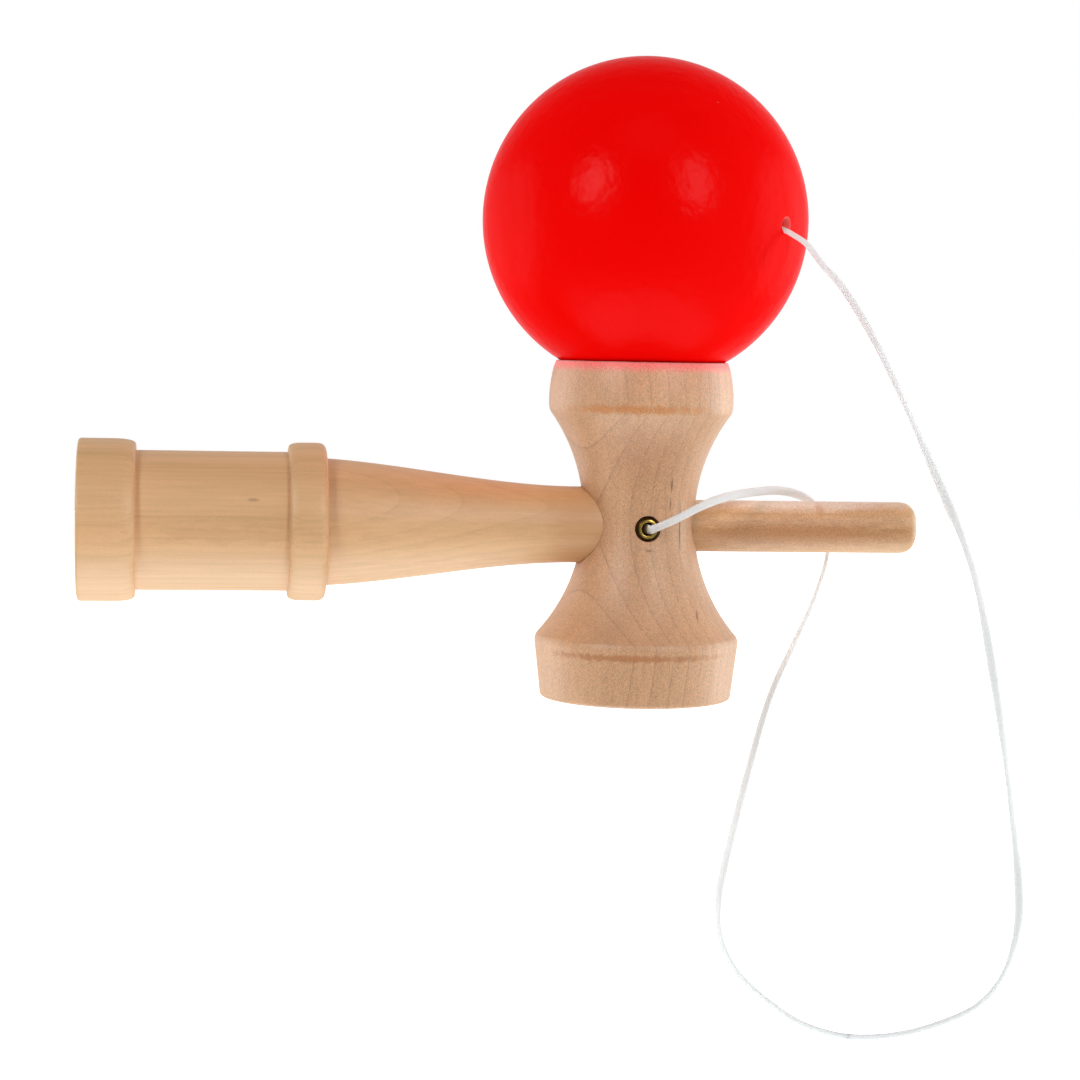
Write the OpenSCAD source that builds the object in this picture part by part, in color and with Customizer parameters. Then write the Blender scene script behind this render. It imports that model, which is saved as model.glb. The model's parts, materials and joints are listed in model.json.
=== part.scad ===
// Cup and ball toy: a turned handle with a spike, a crosspiece with two cups,
// and a lacquered ball on a string. Millimetres. The origin is the middle of the
// handle's grip, +X runs along the handle towards the spike and +Z is up.

/* [Handle] */
// Diameter of the base ring that holds the base cup
base_d = 32; // [29:0.5:40]
// Length of the base ring
base_len = 11.2; // [9:0.1:16]
// Depth of the dish in the base cup
base_dish = 7.5; // [5:0.1:9]
// Width of the flat rim round the base cup
base_lip = 1; // [0.5:0.1:2]
// Softening of the base ring's shoulder
base_round = 4.4; // [1:0.1:6]
// Diameter of the straight grip
grip_d = 27.5; // [20:0.5:28]
// Length of the straight grip
grip_len = 29.8; // [20:0.5:50]
// Diameter of the collar
collar_d = 31.3; // [29:0.1:38]
// Length of the collar
collar_len = 7.4; // [5:0.1:12]
// Softening of the collar's edge towards the grip
collar_round = 2.8; // [0.5:0.1:3.5]
// Softening of the collar's edge towards the neck
collar_face_round = 1.8; // [0.5:0.1:3]
// Diameter where the neck leaves the collar
shoulder_d = 25.2; // [18:0.1:27]
// Length from the collar's face to the crosspiece's axis
neck_len = 63; // [45:0.5:90]
// Diameter where the neck enters the crosspiece
neck_d = 15.3; // [13:0.1:17]
// Diameter of the spike
spike_d = 10.4; // [8:0.1:12]
// Length from the crosspiece's axis to the spike's tip
spike_reach = 57; // [45:0.5:80]
// Softening of the spike's end
tip_round = 3.3; // [0.5:0.1:4]

/* [Crosspiece] */
// Diameter of the waist at its narrowest
waist_d = 22.4; // [21:0.1:26]
// Radius of the cove turned between the cups
cove_radius = 35.6; // [30:0.1:50]
// Height of the waist's narrowest place above the handle's axis
cove_rise = 1.5; // [-3:0.1:3]
// Diameter of the ridge under the small cup
small_ridge_d = 37; // [33:0.1:40]
// Diameter of the small cup's rim
small_rim_d = 34.4; // [32:0.1:38]
// Height of the small cup's rim above the handle's axis
small_rim_z = 32.9; // [29:0.1:40]
// Depth of the dish in the small cup
small_dish = 11; // [8:0.1:13]
// Width of the flat rim round the small cup
small_lip = 0.3; // [0.2:0.1:1.5]
// Height of the bevel outside the small cup's rim
bevel_h = 1.5; // [0.5:0.1:3]
// Width of the bevel outside the small cup's rim
bevel_w = 0.6; // [0.2:0.1:1.5]
// Diameter of the ridge above the large cup
large_ridge_d = 41.2; // [36:0.1:46]
// Diameter of the large cup's rim
large_rim_d = 38.4; // [35:0.1:44]
// Depth of the large cup's rim below the handle's axis
large_rim_z = 34.8; // [30:0.1:42]
// Depth of the dish in the large cup
large_dish = 11.5; // [8:0.1:14]
// Width of the flat rim round the large cup
large_lip = 1; // [0.5:0.1:2]
// Softening of the turned edges
edge_round = 0.8; // [0.3:0.1:1.2]

/* [Eyelet] */
// Diameter of the eyelet's rolled flange
flange_d = 5; // [4.5:0.1:6]
// Height of the flange
flange_h = 0.9; // [0.5:0.1:1.2]
// Hole through the eyelet
eyelet_bore = 2.8; // [2.2:0.1:3.2]
// Thickness of the eyelet's brass
eyelet_sheet = 0.4; // [0.2:0.05:0.5]
// Depth of the flange's seat in the crosspiece
seat_depth = 0.5; // [0.4:0.1:1]

/* [Ball] */
// Diameter of the ball
ball_d = 65; // [58:0.5:75]
// Diameter of the bore for the spike
bore_d = 20; // [16:0.5:24]
// Wood left round the string's hole, over the bead
crown_wall = 6.9; // [4:0.1:10]
// Softening of the bore's mouth
mouth_round = 1.2; // [0.5:0.1:2]
// Diameter of the string's hole
string_hole_d = 3.2; // [2.4:0.1:4.4]
// Turn of the string's hole from the spike's direction, in degrees
hole_turn = -43; // [-90:1:0]
// Tilt of the string's hole, in degrees
hole_tilt = -2; // [-10:1:10]

/* [String] */
// Width of the string
string_d = 1.6; // [1:0.1:2]
// Diameter of the knot in the handle
handle_knot_d = 4.4; // [3.5:0.1:5]
// Place of the handle's knot behind the crosspiece's axis
knot_y = 2.6; // [2:0.1:3.2]
// Diameter of the knot behind the bead
bead_knot_d = 4; // [3.5:0.1:5]
// Diameter of the bead
bead_d = 7; // [6:0.1:8]
// Hole through the bead
bead_bore = 2.2; // [2.1:0.1:3]
// Length that each inner stretch of string stands out
string_stub = 0.3; // [0.1:0.1:1]

/* [Clearances] */
// Gap between the ball and the small cup's rim
ball_gap = 0.2; // [0.05:0.05:0.5]
// Gap between the handle and the crosspiece's bore
socket_gap = 0.05; // [0.02:0.01:0.2]
// Gap between the eyelet and the wood
eyelet_gap = 0.05; // [0.02:0.01:0.2]
// Gap round the flange in its seat
flange_gap = 0.1; // [0.05:0.05:0.3]
// Gap between the eyelet's barrel and the handle
barrel_gap = 0.6; // [0.2:0.1:1]
// Gap between the bead and the edge that it bears on
bead_gap = 0.2; // [0.1:0.05:0.5]
// Gap round the bead in its pocket
bead_play = 0.7; // [0.3:0.1:1]
// Gap between the bead and its knot
knot_touch = 0.05; // [0.02:0.01:0.2]
// Gap round and behind a knot in its recess
knot_gap = 0.3; // [0.1:0.05:0.6]
// Gap round the string in the handle's hole
string_play = 0.5; // [0.2:0.1:0.8]

/* [Hidden] */
$fn = 96;
corner_steps = 5;
curve_steps = 14;

// Places along the handle
base_x = -grip_len/2 - base_len;
collar_x = grip_len/2;
cross_x = collar_x + collar_len + neck_len;
tip_x = cross_x + spike_reach;

// The handle is straight where it enters and leaves the crosspiece, and tapers between
straight_run = waist_d/16;
tenon_half = waist_d/2 - straight_run;
socket_reach = waist_d;
neck_end = waist_d/2 + 2*straight_run;
neck_slope_out = -0.06;
neck_slope_in = -0.01;

// The ball's centre, with the ball over the small cup's inner edge
small_seat_r = small_rim_d/2 - small_lip;
ball_z = small_rim_z + sqrt(pow(ball_d/2 + ball_gap, 2) - pow(small_seat_r, 2));

// Flat on each knot where the string enters it, as a share of the knot's radius
knot_flat = 0.7;

// Places along the bore's axis, measured from the ball's centre towards the string's hole
mouth_s = -sqrt(pow(ball_d/2, 2) - pow(bore_d/2, 2));
pocket_end_s = ball_d/2 - crown_wall;
bead_s = pocket_end_s - sqrt(pow(bead_d/2 + bead_gap, 2) - pow(string_hole_d/2, 2));
bead_face_s = bead_s - sqrt(pow(bead_d/2, 2) - pow(bead_bore/2, 2));
bead_knot_s = bead_face_s - knot_touch - bead_knot_d/2*knot_flat;
bore_end_s = bead_knot_s - bead_knot_d/2 - knot_gap;
hole_exit_s = ball_d/2 + string_stub;
pocket_d = bead_d + 2*bead_play;

// Depths through the crosspiece, with -Y at the eyelet
flange_seat_y = -waist_d/2 + seat_depth;
flange_back_y = flange_seat_y - eyelet_gap;
string_exit_y = flange_back_y - flange_h - string_stub;
barrel_end_y = -(neck_d + spike_d)/4 - barrel_gap;
barrel_d = eyelet_bore + 2*eyelet_sheet;
knot_flat_y = knot_y - handle_knot_d/2*knot_flat;

// Free string from the eyelet to the ball, from where the two axes cross
string_route = [
  [0.2, -13.9, 0.1], [1.6, -16, 0.9], [4.6, -16.9, 2.5], [9.6, -15.3, 4.8], [14.7, -11.5, 6.3],
  [21.5, -5.2, 7.1], [29, 1.5, 7.2], [35.2, 5.6, 5.7], [39.2, 7.1, 2.2], [41, 7.4, -3],
  [40.5, 7.2, -8.8], [37.6, 7, -17.4], [33.9, 7, -25.8], [29.5, 7, -36.3], [25.4, 7, -51.6],
  [20.6, 6.5, -72.4], [19.6, 6, -80.4], [20.6, 5.5, -87.2], [24, 4.9, -93.4], [30, 4.2, -98.9],
  [37.6, 3.3, -103.8], [47, 2.3, -106.3], [57.4, 1, -105.7], [67, -0.1, -102.8], [74, -0.9, -99],
  [78.6, -2, -92.6], [80.8, -3.2, -83.4], [80.4, -4.4, -73], [76.8, -7.4, -53], [70.8, -12.4, -27.6],
  [64.4, -16.8, -6.2], [54, -21.2, 14.5], [42.5, -24.6, 35.7], [35, -25.8, 47], [30.2, -25.9, 52.2],
  [27.2, -25.2, 56]
];

// Points of a soft corner at c, from a to b
function bend(a, c, b) =
  [for (i = [0:corner_steps]) let (t = i/corner_steps) (1 - t)*(1 - t)*a + 2*t*(1 - t)*c + t*t*b];

// Where a corner at p with softening r leaves the edge to q, which another soft corner may share
function leave(p, q, r, shared) = p + (q - p)*min(r/norm(q - p), shared ? 0.5 : 0.9);

// An outline of [radius, height, softening] corners, with each softened corner drawn as a curve
function softened(outline) = let (n = len(outline), at = [for (p = outline) [p[0], p[1]]])
  [for (i = [0:n - 1]) let (p = at[i], r = outline[i][2], last = (i + n - 1) % n, next = (i + 1) % n)
    each r == 0 ? [p] : bend(leave(p, at[last], r, outline[last][2] > 0), p,
                             leave(p, at[next], r, outline[next][2] > 0))];

// Height above or below the waist where the cove reaches radius r
function cove_reach(r) = let (rise = r - waist_d/2) sqrt(2*cove_radius*rise - rise*rise);

// Radius of the cove at a height from the waist
function cove_r(h) = waist_d/2 + cove_radius - sqrt(cove_radius*cove_radius - h*h);

// Radius of the neck at t from 0, at the collar, to 1, at the crosspiece: a cubic with set end slopes
function neck_r(t) = let (run = neck_len - neck_end)
  (2*t*t*t - 3*t*t + 1)*shoulder_d/2 + (t*t*t - 2*t*t + t)*run*neck_slope_out
  + (3*t*t - 2*t*t*t)*neck_d/2 + (t*t*t - t*t)*run*neck_slope_in;

// Turns an outline of [radius, place along X] about the handle's axis
module turned(outline) {
  rotate([0, 90, 0]) rotate_extrude() polygon(outline);
}

// A sphere that cuts a dish of the given rim radius and depth below the origin
module dish(rim_r, depth) {
  sphere_r = (rim_r*rim_r + depth*depth)/(2*depth);
  translate([0, 0, sphere_r - depth]) sphere(sphere_r);
}

// Turns +Z to the direction of the string's hole, from the ball's centre
module on_ball_axis() {
  translate([cross_x, 0, ball_z]) rotate([0, 90 - hole_tilt, hole_turn]) children();
}

// Turns +Z to +Y through the crosspiece, from where the two axes cross
module through_crosspiece() {
  translate([cross_x, 0, 0]) rotate([-90, 0, 0]) children();
}

// A knot with a flat face towards +Z, where the string enters
module knot(d) {
  difference() {
    sphere(d = d);
    translate([-d, -d, d/2*knot_flat]) cube(2*d);
  }
}

// Handle, neck and spike, turned from one piece
module ken() {
  outline = concat(
    [[0, base_x, 0], [base_d/2, base_x, edge_round], [base_d/2, base_x + base_len, base_round],
     [grip_d/2, base_x + base_len, 0], [grip_d/2, collar_x, 0], [collar_d/2, collar_x, collar_round],
     [collar_d/2, collar_x + collar_len, collar_face_round]],
    [for (i = [0:curve_steps]) let (t = i/curve_steps)
      [neck_r(t), collar_x + collar_len + t*(neck_len - neck_end), 0]],
    [[neck_d/2, cross_x - tenon_half, 0], [spike_d/2, cross_x + tenon_half, 0],
     [spike_d/2, tip_x, tip_round], [0, tip_x, 0]]);
  color("burlywood") difference() {
    turned(softened(outline));
    translate([base_x, 0, 0]) rotate([0, -90, 0]) dish(base_d/2 - edge_round - base_lip, base_dish);
    through_crosspiece() cylinder(d = string_d + 2*string_play, h = waist_d, center = true);
    through_crosspiece() translate([0, 0, knot_flat_y])
      cylinder(d = handle_knot_d + 2*knot_gap, h = waist_d);
  }
}

// Turned crosspiece with a cup at each end, a tapered socket for the handle and a hole for the eyelet
module crosspiece() {
  up = cove_reach(small_ridge_d/2 - edge_round/2);
  down = cove_reach(large_ridge_d/2 - edge_round/2);
  small_ridge_z = cove_rise + cove_reach(small_ridge_d/2);
  large_ridge_z = cove_rise - cove_reach(large_ridge_d/2);
  small_wall = small_rim_z - bevel_h - small_ridge_z;
  large_dish_r = large_rim_d/2 - edge_round - large_lip;
  outline = concat(
    [[0, -large_rim_z, 0], [large_rim_d/2, -large_rim_z, edge_round],
     [large_ridge_d/2, large_ridge_z - edge_round/2, edge_round]],
    [for (i = [0:curve_steps]) let (h = -down + (up + down)*i/curve_steps)
      [cove_r(h), cove_rise + h, 0]],
    [[small_ridge_d/2, small_ridge_z + edge_round/2, edge_round],
     [small_ridge_d/2, small_ridge_z + small_wall/2, small_wall/2],
     [small_rim_d/2 + bevel_w, small_rim_z - bevel_h, bevel_w],
     [small_rim_d/2, small_rim_z, 0], [0, small_rim_z, 0]]);
  color("tan") translate([cross_x, 0, 0]) difference() {
    rotate_extrude() polygon(softened(outline));
    translate([0, 0, small_rim_z]) dish(small_seat_r, small_dish);
    translate([0, 0, -large_rim_z]) mirror([0, 0, 1]) dish(large_dish_r, large_dish);
    turned([[0, -socket_reach], [neck_d/2 + socket_gap, -socket_reach],
            [neck_d/2 + socket_gap, -tenon_half], [spike_d/2 + socket_gap, tenon_half],
            [spike_d/2 + socket_gap, socket_reach], [0, socket_reach]]);
    rotate([90, 0, 0]) cylinder(d = barrel_d + 2*eyelet_gap, h = waist_d);
    translate([0, flange_seat_y, 0]) rotate([90, 0, 0]) cylinder(d = flange_d + 2*flange_gap, h = waist_d);
  }
}

// Brass eyelet with a rolled flange that lines the string's way out
module eyelet() {
  barrel_len = barrel_end_y - flange_back_y;
  outline = [[eyelet_bore/2, -barrel_len, 0], [barrel_d/2, -barrel_len, 0], [barrel_d/2, 0, 0],
             [flange_d/2, 0, 0], [flange_d/2, flange_h, flange_h],
             [eyelet_bore/2, flange_h, flange_h/2]];
  color("darkgoldenrod") translate([cross_x, flange_back_y, 0]) rotate([90, 0, 0])
    rotate_extrude() polygon(softened(outline));
}

// Knot that holds the string in its recess at the back of the handle
module handle_knot() {
  color("white") through_crosspiece() translate([0, 0, knot_y]) mirror([0, 0, 1]) knot(handle_knot_d);
}

// String from the knot in the handle, out through the eyelet
module string_in_handle() {
  color("white") through_crosspiece() translate([0, 0, string_exit_y])
    cylinder(d = string_d, h = knot_flat_y - string_exit_y);
}

// Unit vector along the string's hole, out of the ball
hole_dir = [cos(hole_tilt)*cos(hole_turn), cos(hole_tilt)*sin(hole_turn), sin(hole_tilt)];
string_path = concat([[0, string_exit_y, 0]], string_route,
                     [for (out = [1.2, 0]) [0, 0, ball_z] + (hole_exit_s + out)*hole_dir]);

// Point on the smooth curve through the path's points, at t from point i to the next
function on_curve(i, t) = let (n = len(string_path) - 1, b = string_path[i], c = string_path[i + 1],
    a = i > 0 ? string_path[i - 1] : 2*b - c, d = i < n - 1 ? string_path[i + 2] : 2*c - b)
  b + t*(c - a)/2 + t*t*(2*a - 5*b + 4*c - d)/2 + t*t*t*(3*b - a - 3*c + d)/2;

// Direction that the string never runs along, for the sides of its rings
slant = [0.35, 0.85, -0.4];
string_sides = 8;
ring_spacing = 5;

// Centres of the string's rings, with more of them where its points are further apart
string_centres = concat([for (i = [0:len(string_path) - 2])
    let (gap = norm(string_path[i + 1] - string_path[i]), steps = max(1, round(gap/ring_spacing)))
    each [for (k = [0:steps - 1]) on_curve(i, k/steps)]], [string_path[len(string_path) - 1]]);

// Corners of the string's ring at centre i
function ring(i) = let (n = len(string_centres) - 1,
    along = i == n ? -hole_dir : i == 0 ? [0, -1, 0] : string_centres[i + 1] - string_centres[i - 1],
    side = cross(along, slant)/norm(cross(along, slant)), up = cross(side, along)/norm(along))
  [for (k = [0:string_sides - 1]) let (turn = 360*k/string_sides)
    string_centres[i] + string_d/2*(cos(turn)*side + sin(turn)*up)];

// Free string: a tube swept along its route from the eyelet to the ball
module string() {
  rings = len(string_centres);
  points = [for (i = [0:rings - 1]) each ring(i)];
  walls = [for (i = [0:rings - 2], k = [0:string_sides - 1])
    let (a = i*string_sides + k, b = i*string_sides + (k + 1) % string_sides)
    each [[a, b, b + string_sides], [a, b + string_sides, a + string_sides]]];
  caps = [[for (k = [string_sides - 1:-1:0]) k],
          [for (k = [0:string_sides - 1]) (rings - 1)*string_sides + k]];
  color("whitesmoke") translate([cross_x, 0, 0]) polyhedron(points, concat(walls, caps));
}

// Lacquered ball with a bore for the spike, a pocket for the bead and a hole for the string
module ball() {
  bore = [[0, -ball_d, 0], [bore_d/2 + mouth_round + ball_d/2 + mouth_s, -ball_d/2, 0],
          [bore_d/2, mouth_s + mouth_round, mouth_round], [bore_d/2, bore_end_s, 0],
          [pocket_d/2, bore_end_s, 0], [pocket_d/2, pocket_end_s, 0], [0, pocket_end_s, 0]];
  color("red") difference() {
    translate([cross_x, 0, ball_z]) sphere(d = ball_d);
    on_ball_axis() rotate_extrude() polygon(softened(bore));
    on_ball_axis() cylinder(d = string_hole_d, h = ball_d);
  }
}

// Wooden bead that swivels in the ball's pocket
module bead() {
  color("peru") on_ball_axis() translate([0, 0, bead_s]) difference() {
    sphere(d = bead_d);
    cylinder(d = bead_bore, h = 2*bead_d, center = true);
  }
}

// Knot that keeps the bead on the string
module bead_knot() {
  color("white") on_ball_axis() translate([0, 0, bead_knot_s]) knot(bead_knot_d);
}

// String from the knot through the bead and out of the ball
module string_in_ball() {
  start_s = bead_knot_s + bead_knot_d/2*knot_flat;
  color("white") on_ball_axis() translate([0, 0, start_s])
    cylinder(d = string_d, h = hole_exit_s - start_s);
}

ken();
crosspiece();
eyelet();
handle_knot();
string_in_handle();
string();
ball();
bead();
bead_knot();
string_in_ball();
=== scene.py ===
"""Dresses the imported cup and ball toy: smooth turned wood, red lacquer, a brass eyelet and a flat
plaited string, under soft studio light. Shapes are worked out in millimetres and go into the meshes
in metres, in the frame's own axes."""
import json

import bpy
import numpy as np
from mathutils import Matrix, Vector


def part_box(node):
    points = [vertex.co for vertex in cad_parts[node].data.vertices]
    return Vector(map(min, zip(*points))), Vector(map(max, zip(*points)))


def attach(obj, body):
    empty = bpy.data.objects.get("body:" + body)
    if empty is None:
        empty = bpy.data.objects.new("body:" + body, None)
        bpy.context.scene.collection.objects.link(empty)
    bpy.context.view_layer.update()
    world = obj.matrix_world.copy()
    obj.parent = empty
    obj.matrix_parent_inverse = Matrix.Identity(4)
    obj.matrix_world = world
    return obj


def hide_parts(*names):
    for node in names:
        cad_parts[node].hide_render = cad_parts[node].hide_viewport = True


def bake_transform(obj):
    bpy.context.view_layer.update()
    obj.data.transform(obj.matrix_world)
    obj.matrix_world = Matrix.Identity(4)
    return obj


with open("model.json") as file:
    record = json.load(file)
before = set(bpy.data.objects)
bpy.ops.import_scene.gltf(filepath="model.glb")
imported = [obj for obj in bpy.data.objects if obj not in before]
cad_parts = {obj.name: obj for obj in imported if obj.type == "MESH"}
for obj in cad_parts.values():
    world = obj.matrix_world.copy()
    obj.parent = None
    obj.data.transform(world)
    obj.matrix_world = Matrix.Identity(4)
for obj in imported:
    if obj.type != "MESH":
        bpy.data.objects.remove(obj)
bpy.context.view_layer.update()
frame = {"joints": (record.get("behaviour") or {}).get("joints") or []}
MM = 0.001


def box_mm(node):
    """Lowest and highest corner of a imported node, in millimetres."""
    return [np.array(corner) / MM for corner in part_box(node)]


def unit(v):
    """Each vector of an array divided by its own length."""
    v = np.asarray(v, float)
    return v / np.linalg.norm(v, axis=-1, keepdims=True)


# Places read from the frame
ken_low, ken_high = box_mm("ken")
cross_low, cross_high = box_mm("crosspiece")
eyelet_low, eyelet_high = box_mm("eyelet")
swivel = next(joint for joint in frame["joints"] if joint["name"] == "bead_swivel")
hole_dir = unit(swivel["axis"])
ball_centre = np.array(swivel["pos_m"]) / MM
crossing = np.array([ball_centre[0], 0, 0])
base_x, tip_x = ken_low[0], ken_high[0]
small_rim_z, large_rim_z = cross_high[2], -cross_low[2]
flange_front_y, barrel_end_y = eyelet_low[1], eyelet_high[1]

# Handle sizes
BASE_D, BASE_LEN, BASE_DISH, BASE_LIP, BASE_ROUND = 32, 11.2, 7.5, 1, 4.4
GRIP_D, GRIP_LEN, GRIP_CORNER = 27.5, 29.8, 0.2
COLLAR_D, COLLAR_LEN, COLLAR_ROUND, COLLAR_FACE_ROUND = 31.3, 7.4, 2.8, 1.8
SHOULDER_D, NECK_D, SPIKE_D, TIP_ROUND, TIP_FLAT = 25.2, 15.3, 10.4, 3.3, 0.3
NECK_SLOPE_OUT, NECK_SLOPE_IN = -0.06, -0.01
collar_x = base_x + BASE_LEN + GRIP_LEN

# Crosspiece sizes
WAIST_D, COVE_RADIUS, COVE_RISE = 22.4, 35.6, 1.5
SMALL_RIDGE_D, SMALL_RIM_D, SMALL_DISH, SMALL_LIP = 37, 34.4, 11, 0.3
BEVEL_H, BEVEL_W = 1.5, 0.6
LARGE_RIDGE_D, LARGE_RIM_D, LARGE_DISH, LARGE_LIP = 41.2, 38.4, 11.5, 1
EDGE_ROUND, DISH_EDGE_ROUND = 0.8, 0.25
SOCKET_GAP = 0.14
# The tapered tenon ends short of the waist's sides by a sixteenth of the waist
straight_run = WAIST_D / 16
tenon_half = WAIST_D / 2 - straight_run
neck_end = WAIST_D / 2 + 2 * straight_run

# Eyelet, ball, bead and string sizes
FLANGE_D, FLANGE_GAP, SEAT_DEPTH = 5, 0.1, 0.5
EYELET_BORE, EYELET_SHEET, BARREL_GAP = 2.8, 0.4, 0.05
BALL_D, BORE_D = 65, 20
POCKET_D, STRING_HOLE_D, CROWN_WALL, BORE_END = 8.4, 3.2, 6.9, 15.18
BEAD_D, BEAD_BORE, BEAD_PLACE = 7, 2.2, 22.25
BEAD_KNOT_D, BEAD_KNOT_PLACE = 4, 17.48
HANDLE_KNOT_D, HANDLE_KNOT_Y, KNOT_RECESS_D = 4.4, 2.6, 5
STRING_WIDTH, STRING_THICK = 1.9, 0.75
HANDLE_HOLE_D = 2.6
# The string enters a knot at this share of the knot's size from its middle
KNOT_FLAT = 0.35
handle_knot_face = HANDLE_KNOT_Y - KNOT_FLAT * HANDLE_KNOT_D
# Plait: length of a row, its ripple as a share of the width, and how far a row leans, in rows
PLAIT_PITCH, PLAIT_RIPPLE, PLAIT_LEAN = 1.1, 0.01, 0.6
# Power that squares a cord's oval a little, and a direction that no cord here runs along
CORD_CORNERS, CORD_LEVEL = 0.8, np.array([0.08, 0.97, -0.22])
# Angles between faces, in degrees, beyond which an edge is sharp
DRILLED_EDGE, TURNED_EDGE, CORD_END_EDGE = 35, 50, 75


def bend(a, corner, b, steps):
    """A curve from a to b drawn towards the corner: the quadratic Bezier of the three points."""
    t = np.linspace(0, 1, steps)[:, None]
    return (1 - t) ** 2 * a + 2 * t * (1 - t) * corner + t**2 * b


def softened(outline, steps=9):
    """An outline of (radius, place, softening) corners. A soft corner is a bend between the points
    its softening away on both edges, or half or nine tenths of a shorter edge away."""
    at, soft = np.array(outline, float)[:, :2], np.array(outline, float)[:, 2]

    def leave(i, k):
        share = min(soft[i] / np.linalg.norm(at[k] - at[i]), 0.5 if soft[k] else 0.9)
        return at[i] + (at[k] - at[i]) * share

    runs = [bend(leave(i, i - 1), at[i], leave(i, i + 1), steps) if soft[i] else at[i : i + 1]
            for i in range(len(at))]
    return np.concatenate(runs)


def arc_dish(rim_r, depth, rim_place, inward, steps=40):
    """Outline of a dish from near its axis to its rim: a circle's arc of the given rim radius and
    depth, whose deepest place lies inward, +1 or -1, of the rim's place."""
    sphere_r = (rim_r**2 + depth**2) / (2 * depth)
    turn = np.linspace(0.02, 1, steps) * np.arcsin(rim_r / sphere_r)
    r, place = sphere_r * np.sin(turn), rim_place + inward * (depth - sphere_r * (1 - np.cos(turn)))
    return [(a, b, 0) for a, b in zip(r, place)]


def dense(outline, step=0.7):
    """The same outline with every longer stretch divided, so that no row of faces is over-long."""
    gaps = np.linalg.norm(np.diff(outline, axis=0), axis=1)
    keep = np.concatenate([[0], np.cumsum(gaps)])
    extra = np.concatenate([np.linspace(a, b, int(np.ceil(g / step)), endpoint=False)
                            for a, b, g in zip(keep[:-1], keep[1:], gaps) if g > 1e-6])
    at = np.append(extra, keep[-1])
    return np.stack([np.interp(at, keep, outline[:, k]) for k in (0, 1)], 1)


def turned(outline, origin, axis, columns):
    """Rings of an outline of (radius, place) turned about an axis through the origin: each ring is
    origin + place * axis + radius * (cos(turn) * u + sin(turn) * v), with u, v and the axis at right
    angles."""
    axis = unit(axis)
    u = unit(np.cross([0.0, 0.0, 1.0] if abs(axis[2]) < 0.9 else [0.0, 1.0, 0.0], axis))
    v = np.cross(axis, u)
    turn = np.linspace(0, 2 * np.pi, columns, endpoint=False)
    spokes = np.cos(turn)[:, None] * u + np.sin(turn)[:, None] * v
    return origin + outline[:, 1, None, None] * axis + outline[:, 0, None, None] * spokes


def smooth_curve(points, steps):
    """A smooth curve through points: on each stretch the cubic whose end slopes are half the step
    between the points before and after."""
    p = np.concatenate([[2 * points[0] - points[1]], points, [2 * points[-1] - points[-2]]])
    a, b, c, d = (p[k : len(p) - 3 + k, None] for k in range(4))
    t = np.linspace(0, 1, steps, endpoint=False)[None, :, None]
    curve = b + t * (c - a) / 2 + t**2 * (2 * a - 5 * b + 4 * c - d) / 2
    curve = curve + t**3 * (3 * b - a - 3 * c + d) / 2
    return np.concatenate([curve.reshape(-1, 3), points[-1:]])


def evenly(points, step):
    """The same line with its points a set step apart, and the distance of each along it."""
    far = np.concatenate([[0], np.cumsum(np.linalg.norm(np.diff(points, axis=0), axis=1))])
    at = np.linspace(0, far[-1], int(round(far[-1] / step)) + 1)
    return np.stack([np.interp(at, far, points[:, k]) for k in range(3)], 1), at


def plaited(line, far, width, thick, turn, columns=20, loop=False):
    """Rings of a flat plaited cord along a line: soft-cornered ovals, width by thick, whose long
    side is turned by the given angle from the level across the line, and whose surface ripples in
    the V rows of the plait."""
    along = np.gradient(np.concatenate([line[-1:], line, line[:1]]), axis=0)[1:-1] if loop \
        else np.gradient(line, axis=0)
    along = unit(along)
    side = unit(np.cross(along, CORD_LEVEL))
    up = np.cross(along, side)
    turn = np.radians(np.broadcast_to(turn, far.shape))[:, None]
    side, up = np.cos(turn) * side + np.sin(turn) * up, np.cos(turn) * up - np.sin(turn) * side
    angle = np.linspace(0, 2 * np.pi, columns, endpoint=False)
    across = np.sign(np.cos(angle)) * np.abs(np.cos(angle)) ** CORD_CORNERS
    over = np.sign(np.sin(angle)) * np.abs(np.sin(angle)) ** CORD_CORNERS
    rows = np.sin(2 * np.pi * (far[:, None] / PLAIT_PITCH + PLAIT_LEAN * np.abs(across)[None]))
    swell = 1 + PLAIT_RIPPLE * rows
    return (line[:, None] + (width / 2 * across * swell)[..., None] * side[:, None]
            + (thick / 2 * over * swell)[..., None] * up[:, None])


def skin(rings, loop=False):
    """Points and faces over rings (rows, columns, point): quads between neighbours, and either a
    fan to each end ring's own centre or, for a loop, quads from the last ring to the first."""
    rows, columns = rings.shape[:2]
    row = np.arange(rows if loop else rows - 1)[:, None] * columns
    after = (row + columns) % (rows * columns)
    k = np.arange(columns)[None]
    k_next = (k + 1) % columns
    quads = np.stack([row + k, row + k_next, after + k_next, after + k], -1).reshape(-1, 4)
    points = rings.reshape(-1, 3)
    if loop:
        return points, quads.tolist()
    first, last = len(points), len(points) + 1
    k, k_next = k[0], k_next[0]
    top = (rows - 1) * columns
    fans = np.concatenate([np.stack([np.full(columns, first), k_next, k], -1),
                           np.stack([np.full(columns, last), top + k, top + k_next], -1)])
    points = np.concatenate([points, rings[:1].mean(1), rings[-1:].mean(1)])
    return points, quads.tolist() + fans.tolist()


def piece(name, rings, material, loop=False, sharp=None):
    """A smooth-shaded object from rings in millimetres, sharp where faces meet at more than the
    given angle in degrees."""
    points, faces = skin(rings, loop)
    mesh = bpy.data.meshes.new(name)
    mesh.from_pydata(points * MM, [], faces)
    mesh.materials.append(material)
    mesh.shade_smooth()
    if sharp:
        mesh.set_sharp_from_angle(angle=np.radians(sharp))
    thing = bpy.data.objects.new(name, mesh)
    bpy.context.scene.collection.objects.link(thing)
    return thing


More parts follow.
